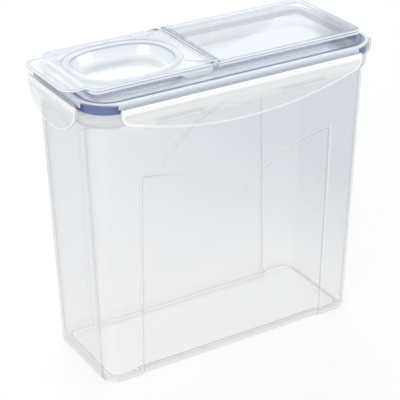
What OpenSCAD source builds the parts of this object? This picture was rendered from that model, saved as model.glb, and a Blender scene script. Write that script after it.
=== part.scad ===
// Tall cereal container with a clip-down lid and a flip-up pouring flap.
// X runs along the long side with the flap end at -X, Y across, Z up.
// The origin is the centre of the bounding box at the resting face.

/* [Container] */
// Outer length at the base
body_l = 218; // [190:1:260]
// Outer width at the base
body_w = 86.4; // [78:0.2:120]
// Height of the rim above the resting face
body_h = 218; // [150:1:260]
// Corner radius at the base
base_r = 14; // [12:0.5:20]
// Distance that each wall leans out from base to rim
flare = 6.8; // [4:0.1:9]
// Wall thickness
wall = 1.6; // [1.2:0.1:2.2]
// Floor thickness
floor_t = 2.2; // [1.6:0.1:3.2]
// Rounding of the outer bottom edge
base_edge_r = 3.5; // [2:0.1:5]
// Rounding of the inner bottom edge
floor_edge_r = 6; // [3:0.1:8]
// Distance from the base end to the raised floor panel
panel_inset_x = 5; // [5:0.5:12]
// Distance from the base side to the raised floor panel
panel_inset_y = 10; // [6:0.5:14]
// Corner radius of the raised floor panel
panel_r = 9; // [5:0.5:14]
// Height of the raised floor panel above the resting face
panel_rise = 1; // [0.5:0.1:1.5]

/* [Wall grips] */
// Depth that each long wall is pressed in
grip_depth = 1.8; // [0.8:0.1:2.4]
// Half length of a grip
grip_hx = 80.6; // [60:0.2:86]
// Height of a grip's upper corners
grip_top = 167.9; // [110:0.1:180]
// Radius of the two sweeping upper edges
grip_sweep_r = 133; // [120:1:150]
// Distance of the sweep centres from the middle
grip_sweep_x = 89.6; // [80:0.2:96]
// Rounding of the upper corners
grip_corner_r = 6; // [3:0.5:10]

/* [Rim] */
// How far the rim band stands out from the wall top
rim_out = 2.2; // [1.6:0.1:2.6]
// Height of the rim band
rim_band_h = 9.2; // [7:0.1:11]
// Rounding along the rim band's lower edge
rim_edge_r = 1.2; // [0.6:0.1:1.5]

/* [Lid frame] */
// Height of the flange top above the rim
flange_rise = 8.3; // [7.5:0.1:10]
// Thickness of the flange
flange_t = 1.4; // [1.1:0.1:1.8]
// Distance that the flange reaches past the rim band
flange_over = 1.2; // [1:0.1:1.6]
// Height of the rails that carry the latch hinges
rail_h = 4.3; // [3.9:0.1:5]
// Thickness of the inner skirt
skirt_t = 1.4; // [1.1:0.1:1.8]
// Depth that the inner skirt reaches below the rim
skirt_drop = 5; // [3:0.1:8]
// Thickness of the deck under the flap and cover
deck_t = 1.6; // [1.2:0.1:2]
// Distance from the flange top down to the deck top
deck_sink = 2.7; // [2:0.1:3]
// Thickness of the walls that stand on the deck
deck_wall = 1.6; // [1.3:0.1:2]
// Width of the groove in the flange top
groove_w = 0.9; // [0.6:0.1:1.2]
// Depth of the groove in the flange top
groove_d = 0.6; // [0.3:0.1:0.8]
// Distance from the flange edge in to the groove
groove_inset = 4.6; // [4:0.1:5]
// Height of the stiffening rib on the deck
rib_h = 1.2; // [0.6:0.1:2]
// Width of the stiffening rib on the deck
rib_w = 1.6; // [1:0.1:2.4]

/* [Cover and flap] */
// Distance from the flange's end in to the end of cover and flap
top_inset_x = 8.2; // [7:0.1:9]
// Distance from the flange's side in to the side of cover and flap
top_inset_y = 12.4; // [11:0.1:13.5]
// Corner radius of cover and flap
top_r = 7; // [4:0.5:10]
// Height of the top face above the flange
top_rise = 7.7; // [7:0.1:9]
// Plate thickness of cover and flap
plate_t = 1.6; // [1.2:0.1:2]
// Skirt thickness of cover and flap
edge_t = 1.5; // [1.2:0.1:1.6]
// Skirt height of cover and flap
edge_h = 3.8; // [3:0.1:4.5]
// Distance from the pouring collar to the flap's hinge axis
hinge_from_collar = 8.6; // [7:0.1:14]
// Radius of the hinge knuckles
knuckle_r = 1.5; // [1.4:0.05:1.7]
// Radius of the hinge pins
pin_r = 0.8; // [0.6:0.05:0.9]
// Distance from the hinge axis to the cover's edge
cover_gap = 2.3; // [2.2:0.05:3]
// Length of the flap's deep skirt beside the hinge
cheek_l = 28; // [15:1:40]
// Depth of that skirt below the rest of the skirt
cheek_h = 3.2; // [1.5:0.1:3.4]
// Length of the finger tab past the flap's end
tab_l = 17.5; // [14.5:0.5:24]
// Width of the finger tab
tab_w = 67; // [40:1:72]
// Corner radius of the finger tab
tab_r = 10; // [5:0.5:14]

/* [Pouring plug] */
// Distance from the flap's end in to the pouring collar
collar_inset = 2.6; // [2.4:0.1:6]
// Half length of the plug's hollow at the top
plug_a = 37; // [30:0.1:37.5]
// Half width of the plug's hollow at the top
plug_b = 27.6; // [22:0.1:28.5]
// Depth of the plug's hollow below the top face
plug_depth = 9.6; // [7.5:0.1:9.8]
// How much narrower the plug's hollow is at its floor
plug_taper = 3; // [1:0.1:4]
// Thickness of the plug's wall and floor
plug_t = 1.4; // [1.2:0.1:1.6]
// Squareness of the plug's oval outline
oval_power = 2.45; // [2:0.05:3]
// Width of the sunk border around the plug's hollow
border_w = 5.8; // [4:0.1:6]
// Depth of the sunk border
border_d = 0.5; // [0.3:0.1:0.7]
// Radial thickness of the plug's seal
seal_t = 1.7; // [1.3:0.1:2]
// Height of the plug's seal
seal_h = 3.6; // [2.5:0.1:4]
// Thickness of the collar around the pouring mouth
collar_t = 1.5; // [1.2:0.1:1.6]
// Length of the neck below the deck
neck_drop = 4; // [2:0.1:6]

/* [Latches] */
// Half length of the front and rear latches
long_half = 98.5; // [80:0.5:99]
// Half length of the end latches
short_half = 36; // [30:0.5:37]
// Distance from the hinge line to the bottom of a front or rear latch
long_drop = 27.6; // [24:0.1:34]
// Distance from the hinge line to the bottom of an end latch
short_drop = 26.7; // [24:0.1:34]
// Radius of the curved lower edge of the long latches
long_sweep = 300; // [250:5:500]
// Radius of the curved lower edge of the end latches
short_sweep = 46; // [42:1:60]
// Rounding where the lower edge meets the latch ends
latch_corner = 8; // [5:0.5:10]
// Latch plate thickness
latch_t = 1.5; // [1.2:0.1:1.8]
// Width of the bead along the lower edge
bead_w = 2.4; // [1.6:0.1:3]
// Height of the bead above the latch plate
bead_h = 0.9; // [0.6:0.1:1.2]
// Radius of the rolled shoulder under the hinge
roll_r = 1.3; // [1.1:0.1:1.6]
// Distance from the flange edge to the hinge line
web_reach = 1.3; // [1.2:0.05:1.5]
// Distance that the hinge web reaches past the hinge line
web_out = 0.75; // [0.6:0.05:0.85]
// Thickness of the latch lip that the hinge web meets
lip_t = 0.7; // [0.5:0.05:0.8]
// Thickness of the flexible hinge web
web_t = 0.3; // [0.2:0.05:0.3]
// Distance from the flange top down to the hinge line
hinge_sink = 3.3; // [3:0.1:3.6]
// Height of the locking bar on a latch
hook_h = 3; // [2:0.1:4]
// Inner end of the locking bars of a long latch, from its middle
hook_from = 32; // [20:1:40]
// Outer end of the locking bars of a long latch, from its middle
hook_to = 70; // [55:1:72]
// Half length of the locking bar of an end latch
hook_half = 20; // [12:1:24]

/* [Clearances] */
// Gap around seals and between still parts of the lid
seat_gap = 0.3; // [0.2:0.05:0.4]
// Gap between parts that move past each other
move_gap = 0.4; // [0.3:0.05:0.5]
// Radial clearance of a hinge pin in its bore
pin_gap = 0.05; // [0.02:0.01:0.1]
// Gap between a hinge web and its latch
web_gap = 0.05; // [0.05:0.01:0.2]

/* [Hidden] */
$fn = 96;
// Number of points on an oval outline
oval_n = 72;
// Overlap that lets cuts and joints run through a face
over = 1;
// How far a wall starts inside the rounding below it, so that the two cross cleanly
bite = 0.02;

// Half sizes of the inner rectangle that every corner radius starts from
core_x = body_l / 2 - base_r;
core_y = body_w / 2 - base_r;
slope = flare / body_h;
// Wall radius from the core rectangle at a height
function wall_r(z) = base_r + slope * z;

rim_r = wall_r(body_h);
band_r = rim_r + rim_out;
band_z = body_h - rim_band_h;

flange_r = band_r + flange_over;
flange_z = body_h + flange_rise;
skirt_r = rim_r - wall - move_gap;
deck_z = flange_z - deck_sink;
deck_low = deck_z - deck_t;

top_z = flange_z + top_rise;
plate_z = top_z - plate_t;
edge_z = top_z - edge_h;
deck_wall_z = plate_z - seat_gap;
top_hx = core_x + flange_r - top_inset_x;
top_hy = core_y + flange_r - top_inset_y;
inner_hx = top_hx - edge_t - move_gap;
inner_hy = top_hy - edge_t - move_gap;
inner_r = top_r - edge_t - move_gap;

collar_a = plug_a + plug_t + seal_t + seat_gap;
collar_b = plug_b + plug_t + seal_t + seat_gap;
plug_x = top_hx - collar_inset - collar_t - collar_a;
plug_floor = top_z - plug_depth;
seal_z = plate_z - seat_gap - seal_h - seat_gap;

hinge_x = plug_x - collar_a - collar_t - hinge_from_collar;
axis_z = top_z - knuckle_r;
cover_x = -hinge_x + cover_gap;
knuckle_hy = inner_hy - deck_wall - move_gap;

pivot_r = flange_r + web_reach;
pivot_z = flange_z - hinge_sink;
// Where the latch plate's inner face lies, outside the hinge line
plate_in = move_gap;
lip_in = web_out + web_gap;
roll_in = plate_in + roll_r;
latch_out = pivot_r + roll_in + roll_r;
hook_z = band_z - seat_gap - hook_h;
hook_r = rim_r + seat_gap * 3;

// Reach of the finished part to each side of the container's middle
reach_tab = top_hx + tab_l;
reach_end = core_x + latch_out;
middle_x = (reach_tab - reach_end) / 2;

// ---- outlines ------------------------------------------------------------

module rounded(hx, hy, r) {
    square([2 * hx, 2 * (hy - r)], center = true);
    square([2 * (hx - r), 2 * hy], center = true);
    for (sx = [-1, 1], sy = [-1, 1])
        translate([sx * (hx - r), sy * (hy - r)]) circle(r);
}

// Outline at one distance from the core rectangle
module around(r) {
    rounded(core_x + r, core_y + r, r);
}

function signed_power(v, p) = sign(v) * pow(abs(v), p);

module oval(a, b) {
    polygon([for (i = [0 : oval_n - 1])
        [a * signed_power(cos(i * 360 / oval_n), 2 / oval_power),
         b * signed_power(sin(i * 360 / oval_n), 2 / oval_power)]]);
}

module slab(z, h) {
    translate([0, 0, z]) linear_extrude(h) children();
}

// Turns an outline drawn in X and Z to face -Y, from distance y to y + t
module facing(y, t) {
    rotate([90, 0, 0]) translate([0, 0, y]) linear_extrude(t) children();
}

// ---- container -----------------------------------------------------------

// One side of a sloping wall with its lower edge rounded by e
module wall_profile(r, e, h) {
    cx = r + slope * e - e * sqrt(1 + slope * slope);
    polygon([[0, 0], [cx, 0], [cx + e - bite, e], [r + slope * h, h], [0, h]]);
    translate([cx, e]) intersection() {
        circle(e);
        translate([-e, -e]) square([2 * e, 1.4 * e]);
    }
}

module wall_section(half, r, e, h) {
    for (m = [0, 1]) mirror([m, 0]) translate([half, 0]) wall_profile(r, e, h);
    translate([-half, 0]) square([2 * half, h]);
}

// A box with sloping walls and round corners, r being its corner radius at the bottom
module sloping_box(r, e, h) {
    rotate([90, 0, 90]) linear_extrude(2 * core_x, center = true) wall_section(core_y, r, e, h);
    rotate([90, 0, 0]) linear_extrude(2 * core_y, center = true) wall_section(core_x, r, e, h);
    for (sx = [-1, 1], sy = [-1, 1])
        translate([sx * core_x, sy * core_y, 0]) rotate_extrude() wall_profile(r, e, h);
}

// Half of a grip's outline on the wall, grown by g
module grip_half(g) {
    intersection() {
        translate([0, -over]) square([grip_hx + g, grip_top + g + over]);
        translate([grip_sweep_x, grip_top - grip_sweep_r]) circle(grip_sweep_r + g, $fn = 360);
        union() {
            translate([0, -over]) square([grip_hx - grip_corner_r, grip_top + g + over]);
            translate([0, -over]) square([grip_hx + g, grip_top - grip_corner_r + over]);
            translate([grip_hx - grip_corner_r, grip_top - grip_corner_r]) circle(grip_corner_r + g);
        }
    }
}

// Both grips as blocks that start depth inside the wall face and are t thick
module grips(depth, t, g) {
    for (m = [0, 1]) mirror([0, m, 0])
        translate([0, -(core_y + base_r), 0]) rotate([90 + atan(slope), 0, 0])
            translate([0, 0, -depth]) linear_extrude(t) {
                grip_half(g);
                mirror([1, 0]) grip_half(g);
            }
}

module rim_band() {
    difference() {
        union() {
            slab(band_z + rim_edge_r, rim_band_h - rim_edge_r) around(band_r);
            slab(band_z, rim_edge_r) around(band_r - rim_edge_r / 2);
        }
        slab(band_z - over, rim_band_h + 2 * over) around(rim_r - wall / 2);
    }
}

module container_body() {
    color([0.86, 0.9, 0.95, 0.5]) translate([middle_x, 0, 0]) {
        difference() {
            sloping_box(base_r, base_edge_r, body_h);
            difference() {
                translate([0, 0, floor_t])
                    sloping_box(wall_r(floor_t) - wall, floor_edge_r, body_h);
                grips(wall + grip_depth, grip_depth + wall / 2, wall);
            }
            grips(grip_depth, grip_depth + over, 0);
            slab(-over, over + panel_rise)
                rounded(body_l / 2 - panel_inset_x, body_w / 2 - panel_inset_y, panel_r);
        }
        rim_band();
    }
}

// ---- lid -----------------------------------------------------------------

// The rails under the flange's edge, kept only where a latch hangs on them
module hinge_rails() {
    slab(flange_z - rail_h, rail_h) intersection() {
        difference() {
            around(flange_r);
            around(flange_r - flange_over);
        }
        union() {
            square([2 * long_half, body_w * 2], center = true);
            square([body_l * 2, 2 * short_half], center = true);
        }
    }
}

module flange() {
    slab(flange_z - flange_t, flange_t) around(flange_r);
    hinge_rails();
    slab(body_h - skirt_drop, flange_rise + skirt_drop) difference() {
        around(skirt_r);
        around(skirt_r - skirt_t);
    }
}

module deck_rib() {
    rib_x = (cover_x + inner_hx) / 2;
    rib_hx = (inner_hx - cover_x) / 2 - 12;
    rib_hy = inner_hy / 2 - 2;
    translate([rib_x, 0, 0]) slab(deck_z - rib_w / 2, rib_h + rib_w / 2) difference() {
        rounded(rib_hx, rib_hy, 2 * top_r);
        rounded(rib_hx - rib_w, rib_hy - rib_w, 2 * top_r - rib_w);
    }
}

module lid_frame() {
    color([0.9, 0.93, 0.96, 0.55]) translate([middle_x, 0, 0]) difference() {
        union() {
            difference() {
                union() {
                    flange();
                    slab(deck_low, deck_wall_z - deck_low) rounded(inner_hx, inner_hy, inner_r);
                }
                slab(deck_z, top_rise + deck_sink)
                    rounded(inner_hx - deck_wall, inner_hy - deck_wall, inner_r - deck_wall);
                slab(flange_z - groove_d, groove_d + over) difference() {
                    around(flange_r - groove_inset);
                    around(flange_r - groove_inset - groove_w);
                }
            }
            translate([-plug_x, 0, 0])
                slab(deck_low - neck_drop, neck_drop + deck_wall_z - deck_low)
                    oval(collar_a + collar_t, collar_b + collar_t);
            for (m = [0, 1]) mirror([0, m, 0])
                translate([-hinge_x, -(inner_hy - deck_wall), axis_z])
                    rotate([90, 0, 0]) cylinder(r = knuckle_r, h = deck_wall);
            deck_rib();
        }
        translate([-plug_x, 0, 0])
            slab(deck_low - neck_drop - over, top_z) oval(collar_a, collar_b);
        translate([-hinge_x, 0, axis_z]) rotate([90, 0, 0])
            cylinder(r = pin_r + pin_gap, h = 2 * top_hy, center = true);
    }
}

module lid_gasket() {
    color([0.36, 0.43, 0.72]) translate([middle_x, 0, 0])
        slab(body_h + seat_gap, flange_rise - flange_t - 2 * seat_gap) difference() {
            around(flange_r - flange_over - seat_gap);
            around(skirt_r + seat_gap);
        }
}

// ---- cover and flap ------------------------------------------------------

// Outline of cover and flap together, drawn in by g
module top_outline(g) {
    rounded(top_hx - g, top_hy - g, top_r - g);
}

module lid_cover() {
    color([0.93, 0.95, 0.97, 0.35]) translate([middle_x, 0, 0]) difference() {
        intersection() {
            slab(edge_z, edge_h) top_outline(0);
            translate([cover_x, -top_hy - over, edge_z]) cube([2 * top_hx, 2 * (top_hy + over), edge_h]);
        }
        slab(edge_z - over, edge_h - plate_t + over) top_outline(edge_t);
    }
}

// Flap plate and skirt, ending at the hinge axis
module flap_shell() {
    difference() {
        union() {
            intersection() {
                slab(edge_z, edge_h) top_outline(0);
                translate([-2 * top_hx, -top_hy - over, edge_z])
                    cube([2 * top_hx - hinge_x, 2 * (top_hy + over), edge_h]);
            }
            slab(plate_z, plate_t) translate([-(reach_tab - tab_l), 0])
                rounded(tab_l, tab_w / 2, tab_r);
        }
        slab(edge_z - over, edge_h - plate_t + over) top_outline(edge_t);
    }
}

// The skirt is deeper beside the hinge, with a slanted end
module cheeks() {
    for (m = [0, 1]) mirror([0, m, 0])
        facing(top_hy - edge_t, edge_t) translate([-hinge_x, 0])
            polygon([[-cheek_l, edge_z + edge_t], [-cheek_l, edge_z - cheek_h],
                [-edge_t, edge_z - cheek_h], [0, edge_z + edge_t]]);
}

// The plug's tapered oval, grown by grow, from z up to z + h
module plug_shape(grow, z, h) {
    low_a = plug_a + grow - plug_taper;
    low_b = plug_b + grow - plug_taper;
    translate([-plug_x, 0, z])
        linear_extrude(h, scale = [1 + plug_taper / low_a, 1 + plug_taper / low_b], slices = 1)
            oval(low_a, low_b);
}

module plug_body(grow) {
    plug_shape(grow, plug_floor - plug_t, plug_depth + plug_t - border_d);
}

module flip_flap() {
    color([0.92, 0.94, 0.97, 0.5]) translate([middle_x, 0, 0]) difference() {
        union() {
            flap_shell();
            cheeks();
            translate([-hinge_x, 0, axis_z]) rotate([90, 0, 0]) {
                cylinder(r = knuckle_r, h = 2 * knuckle_hy, center = true);
                cylinder(r = pin_r, h = 2 * top_hy - edge_t, center = true);
                for (s = [-1, 1]) translate([0, 0, s * (top_hy - edge_t / 2)])
                    cylinder(r = knuckle_r, h = edge_t, center = true);
            }
            plug_body(plug_t);
        }
        plug_shape(0, plug_floor, plug_depth + over);
        translate([-plug_x, 0, 0])
            slab(top_z - border_d, over) oval(plug_a + border_w, plug_b + border_w);
        for (m = [0, 1]) mirror([0, m, 0])
            translate([-hinge_x, -knuckle_hy, axis_z]) rotate([90, 0, 0]) difference() {
                cylinder(r = knuckle_r + move_gap, h = deck_wall + 2 * move_gap);
                cylinder(r = pin_r, h = top_hy);
            }
    }
}

module flap_seal() {
    color([0.4, 0.47, 0.75]) translate([middle_x, 0, 0]) difference() {
        translate([-plug_x, 0, 0]) slab(seal_z, seal_h)
            oval(plug_a + plug_t + seal_t, plug_b + plug_t + seal_t);
        plug_body(plug_t + web_gap);
    }
}

// ---- latches -------------------------------------------------------------

// Latch outline in X and Z, drawn in by g, with its lower edge on a large arc
module latch_outline(half, drop, sweep, g) {
    low = pivot_z - drop;
    top = pivot_z - roll_r;
    corner_x = half - latch_corner;
    corner_z = low + sweep - sqrt(pow(sweep - latch_corner, 2) - pow(corner_x, 2));
    side_x = corner_x * (sweep - g) / (sweep - latch_corner);
    intersection() {
        translate([-half, low]) square([2 * half, top - low]);
        union() {
            intersection() {
                translate([0, low + sweep]) circle(sweep - g, $fn = 360);
                translate([-side_x, low]) square([2 * side_x, top - low]);
            }
            for (s = [-1, 1]) translate([s * corner_x, corner_z]) circle(latch_corner - g);
            translate([-(half - g), corner_z]) square([2 * (half - g), max(top - corner_z, over)]);
        }
    }
}

// A latch that hangs on the -Y side, off being the core rectangle's half size there
module latch(off, half, drop, sweep, bars) {
    difference() {
        union() {
            facing(off + pivot_r + plate_in, latch_t) latch_outline(half, drop, sweep, 0);
            difference() {
                facing(off + pivot_r + plate_in, latch_t + bead_h) latch_outline(half, drop, sweep, 0);
                facing(off + pivot_r + plate_in - over, latch_t + bead_h + 2 * over)
                    latch_outline(half, drop, sweep, bead_w);
            }
        }
        translate([-half - over, -(off + latch_out + over), pivot_z - roll_r])
            cube([2 * (half + over), latch_out, 2 * roll_r]);
    }
    translate([0, -(off + pivot_r + roll_in), pivot_z - roll_r - web_t])
        rotate([0, 90, 0]) cylinder(r = roll_r, h = 2 * half, center = true);
    translate([-half, -(off + pivot_r + lip_in + lip_t), pivot_z - roll_r])
        cube([2 * half, lip_t, roll_r + web_t / 2]);
    for (b = bars) translate([b[0], -(off + pivot_r + plate_in + latch_t / 2), hook_z])
        cube([b[1] - b[0], pivot_r + plate_in + latch_t / 2 - hook_r, hook_h]);
}

module hinge_web(off, half) {
    translate([-half + latch_corner / 2, -(off + pivot_r + web_out), pivot_z - web_t / 2])
        cube([2 * half - latch_corner, web_reach + web_out, web_t]);
}

module long_latch() {
    latch(core_y, long_half, long_drop, long_sweep, [[-hook_to, -hook_from], [hook_from, hook_to]]);
}

module short_latch() {
    latch(core_x, short_half, short_drop, short_sweep, [[-hook_half, hook_half]]);
}

module latch_colour() {
    color([0.95, 0.96, 0.98, 0.5]) translate([middle_x, 0, 0]) children();
}

module front_latch() { latch_colour() long_latch(); }
module rear_latch() { latch_colour() rotate(180) long_latch(); }
module left_latch() { latch_colour() rotate(-90) short_latch(); }
module right_latch() { latch_colour() rotate(90) short_latch(); }
module front_hinge_web() { latch_colour() hinge_web(core_y, long_half); }
module rear_hinge_web() { latch_colour() rotate(180) hinge_web(core_y, long_half); }
module left_hinge_web() { latch_colour() rotate(-90) hinge_web(core_x, short_half); }
module right_hinge_web() { latch_colour() rotate(90) hinge_web(core_x, short_half); }

container_body();
lid_frame();
lid_gasket();
lid_cover();
flip_flap();
flap_seal();
front_latch();
rear_latch();
left_latch();
right_latch();
front_hinge_web();
rear_hinge_web();
left_hinge_web();
right_hinge_web();
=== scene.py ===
"""Dresses the cereal container: a clear moulded container, a clip-down lid and a pouring flap."""

from __future__ import annotations

import logging
from dataclasses import dataclass, field, replace
from enum import Enum
from functools import partial
from math import cos, pi, radians, sin, sqrt
from typing import Callable

import bmesh
import bpy
import numpy as np
from mathutils import Matrix, Vector

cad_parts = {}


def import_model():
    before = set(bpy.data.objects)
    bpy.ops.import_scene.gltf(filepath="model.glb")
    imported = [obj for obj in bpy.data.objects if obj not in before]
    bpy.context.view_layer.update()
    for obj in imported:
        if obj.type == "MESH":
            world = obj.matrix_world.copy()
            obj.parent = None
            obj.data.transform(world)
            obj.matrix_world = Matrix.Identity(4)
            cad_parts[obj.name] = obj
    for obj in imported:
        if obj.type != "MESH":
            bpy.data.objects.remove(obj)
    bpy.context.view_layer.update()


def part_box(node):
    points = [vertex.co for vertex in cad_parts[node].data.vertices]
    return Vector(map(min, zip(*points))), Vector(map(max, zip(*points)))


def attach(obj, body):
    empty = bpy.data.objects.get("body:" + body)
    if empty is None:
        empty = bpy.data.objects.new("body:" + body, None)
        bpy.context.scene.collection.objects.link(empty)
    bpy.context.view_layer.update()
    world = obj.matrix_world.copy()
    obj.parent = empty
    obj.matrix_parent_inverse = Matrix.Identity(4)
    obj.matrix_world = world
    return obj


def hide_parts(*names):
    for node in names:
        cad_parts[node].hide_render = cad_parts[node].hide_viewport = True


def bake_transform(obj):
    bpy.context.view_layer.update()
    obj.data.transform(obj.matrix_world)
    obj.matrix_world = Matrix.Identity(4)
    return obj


LOG = logging.getLogger("cereal_container")

MM = 0.001
SHARP_ANGLE = radians(38)
WELD = 1e-7
OVERLAP = 0.1
PATH_INSET = 0.05
# The mesh attribute of line values: painted shade above 0, painted highlights below 0.
LINE = "deep"

Array = np.ndarray
Colour = tuple[float, float, float]
Corner = tuple[float, float, float]
Pair = tuple[float, float]
Row = tuple[float, float, float, float]
Material, Node, Piece = bpy.types.Material, bpy.types.Node, bpy.types.Object
Socket, World = bpy.types.NodeSocket, bpy.types.World


# --- Outlines and surfaces ---
#
# Lengths are in millimetres from the container's middle.
# A ring is an array of points by 4: x, y, z, and a line value that paints light and shade
# into the plastic's colour. Above 0 it paints shade: darker lines in grooves, creases and gaps,
# partly also the deeper colour of plastic seen along a wall. Below 0 it paints a highlight,
# pale where an edge would catch the light. A row of a table is a ring's distance from
# its outline, its height, its line value and the radius of its corner.


@dataclass(frozen=True)
class Lay:
    """How the points of a rounded outline are spread, so that outlines join one to one."""

    corner: int
    along_x: Array
    along_y: Array

    @staticmethod
    def even(corner: int, along_x: int, along_y: int) -> "Lay":
        """A lay with so many points on each corner, each side along X and each side along Y."""
        shares = [np.linspace(0, 1, count + 2)[1:-1] for count in (along_x, along_y)]
        return Lay(corner, *shares)


def lift(outline: Array, z: float | Array, line: float | Array = 0.0) -> Array:
    """A ring of an outline of points by 2, with one height and line value or one at each point."""
    many = len(outline)
    return np.column_stack([outline, np.broadcast_to(z, many), np.broadcast_to(line, many)])


def across(x: float, out: Array, z: Array, line: float | Array = 0.0) -> Array:
    """A ring that stands across X, from distances out towards the front and heights."""
    many = len(out)
    return np.column_stack([np.full(many, x), -out, z, np.broadcast_to(line, many)])


def bell(x: Array, middle: float, spread: float) -> Array:
    """A bump of height 1: e to the power of less the square of (x - middle) over spread."""
    return np.exp(-(((x - middle) / spread) ** 2))


@dataclass(frozen=True)
class Rounded:
    """A rounded rectangle that rings are drawn at a distance from."""

    half_x: float
    half_y: float
    radius: float = 0.0
    centre_x: float = 0.0
    lay: Lay = Lay.even(12, 90, 30)

    def ring(self, grow: float, z: float, line: float = 0.0) -> Array:
        """The outline grown by a distance: quarter circles about four centres, joined by sides.

        Args:
            grow: how far the outline and its corners' radius are grown.
            z: the ring's height.
            line: its line value.

        Returns:
            The ring, anticlockwise from the corner beyond positive X and Y.
        """
        radius = self.radius + grow
        core = np.array([self.half_x + grow - radius, self.half_y + grow - radius])
        signs = np.array([(1, 1), (-1, 1), (-1, -1), (1, -1)])
        turn = np.linspace(0.0, pi / 2, self.lay.corner)
        arcs = []
        for k, sign in enumerate(signs):
            angle = turn + k * pi / 2
            arcs.append(core * sign + radius * np.stack([np.cos(angle), np.sin(angle)], -1))
        parts: list[Array] = []
        for k, arc in enumerate(arcs):
            share = (self.lay.along_x if k % 2 == 0 else self.lay.along_y)[:, None]
            parts += [arc, arc[-1] + (arcs[(k + 1) % 4][0] - arc[-1]) * share]
        return lift(np.concatenate(parts) + np.array([self.centre_x, 0.0]), z, line)


CORE = Rounded(95.0, 29.2)


def corner_angle(rings: Array) -> Array:
    """The angle in degrees at which each point lies about the core's nearest corner."""
    over = np.abs(rings[..., :2]) - (CORE.half_x, CORE.half_y)
    return np.degrees(np.arctan2(over[..., 1], over[..., 0]))


def doubled(rings: list[Array]) -> Array:
    """Rings of a bar's right end, from its tip inwards, preceded by their mirror images."""
    ends = np.stack(rings)
    return np.concatenate([ends * (-1, 1, 1, 1), ends[::-1]])


def drawn(ring: Callable[..., Array], table: list[Row]) -> list[tuple[Array, float]]:
    """Rings and their corners' radii, from a ring's drawing method and the rows of a table."""
    return [(ring(*row[:3]), row[3]) for row in table]


def softened(corners: list[tuple[Array, float]], closed: bool = False, steps: int = 4) -> Array:
    """Rounds the corners that a stack of rings turns at.

    A corner P becomes the curve (1-t)(1-t)A + 2t(1-t)P + ttB, where A and B lie on the way to the
    rings before and after, at the corner's radius from P but at most at 0.45 of the way.

    Args:
        corners: each ring and its corner's radius, 0 for a ring that stays sharp.
        closed: whether the last ring joins the first.
        steps: points on each rounded corner.

    Returns:
        An array of rings by points by 4.
    """
    last = len(corners) - 1
    result: list[Array] = []
    t = np.linspace(0.0, 1.0, steps)[:, None, None]
    for k, (here, radius) in enumerate(corners):
        if radius <= 0 or (not closed and k in (0, last)):
            result.append(here[None])
            continue
        ends = []
        for other in (corners[k - 1][0], corners[(k + 1) % len(corners)][0]):
            way = other - here
            length = np.linalg.norm(way[:, :3], axis=-1, keepdims=True)
            ends.append(here + way * np.minimum(0.45, radius / np.maximum(length, 1e-9)))
        result.append((1 - t) ** 2 * ends[0] + 2 * t * (1 - t) * here + t**2 * ends[1])
    return np.concatenate(result)


@dataclass
class Surface:
    """Vertices and faces that are gathered into one mesh. Each method gives the surface back."""

    points: list[Array] = field(default_factory=list)
    faces: list[list[int]] = field(default_factory=list)
    count: int = 0

    def add(self, points: Array, faces: list[list[int]]) -> "Surface":
        """Adds vertices and the faces that use them.

        Args:
            points: an array of points by 4.
            faces: point numbers of each face, from 0 for the first of these points.

        Returns:
            The surface.
        """
        self.points.append(points)
        self.faces += [[i + self.count for i in face] for face in faces]
        self.count += len(points)
        return self

    def join(self, other: "Surface") -> "Surface":
        """Adds all of another surface."""
        return self.add(np.concatenate(other.points), other.faces)

    def loft(self, rings: Array | list[Array], closed: bool = False) -> "Surface":
        """Joins a stack of rings by quads, with a flat cap on each end unless it is closed.

        Args:
            rings: an array of rings by points by 4, or a list of rings.
            closed: whether the last ring joins the first.

        Returns:
            The surface.
        """
        stack = np.asarray(rings)
        many, around = stack.shape[:2]
        number = np.arange(many * around).reshape(many, around)
        after = np.roll(number, -1, axis=0) if closed else number[1:]
        start = number if closed else number[:-1]
        quads = np.stack([start, np.roll(start, -1, 1), np.roll(after, -1, 1), after], -1)
        faces = quads.reshape(-1, 4).tolist()
        if not closed:
            faces += [number[0, ::-1].tolist(), number[-1].tolist()]
        return self.add(stack.reshape(-1, 4), faces)

    def turned(self, angle: float) -> "Surface":
        """Turns everything about the vertical axis through the middle."""
        turn = np.array([[cos(angle), sin(angle)], [-sin(angle), cos(angle)]])
        for part in self.points:
            part[:, :2] = part[:, :2] @ turn
        return self


def linked(name: str, data: bpy.types.ID) -> Piece:
    """Makes an object of some data and links it to the scene."""
    made = bpy.data.objects.new(name, data)
    bpy.context.scene.collection.objects.link(made)
    return made


def build(surface: Surface, name: str, middle_x: float, material: Material) -> Piece:
    """Makes a mesh object of a surface, with its faces outwards and its flat faces shaded flat.

    Args:
        surface: the vertices and faces, in millimetres from the container's middle.
        name: the object's name.
        middle_x: where the container's middle lies along X in the frame, in millimetres.
        material: its finish.

    Returns:
        The object, at the origin, with its place in its mesh.
    """
    points = np.concatenate(surface.points)
    place = (points[:, :3] + np.array([middle_x, 0.0, 0.0])) * MM
    mesh = bpy.data.meshes.new(name)
    mesh.from_pydata(place, [], surface.faces)
    line = mesh.attributes.new(LINE, "FLOAT", "POINT")
    line.data.foreach_set("value", points[:, 3].astype(np.float32))
    work = bmesh.new()
    work.from_mesh(mesh)
    bmesh.ops.remove_doubles(work, verts=work.verts, dist=WELD)
    bmesh.ops.recalc_face_normals(work, faces=work.faces)
    work.to_mesh(mesh)
    work.free()
    mesh.polygons.foreach_set("use_smooth", np.ones(len(mesh.polygons), bool))
    mesh.set_sharp_from_angle(angle=SHARP_ANGLE)
    mesh.update()
    mesh.materials.append(material)
    piece = linked(name, mesh)
    piece.modifiers.new("even_shading", "WEIGHTED_NORMAL").keep_sharp = True
    return piece


def mounted(piece: Piece, body: str, node: str) -> Piece:
    """Tells the frame a piece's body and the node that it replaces."""
    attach(piece, body)
    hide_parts(node)
    return piece


# --- Finishes ---


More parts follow.
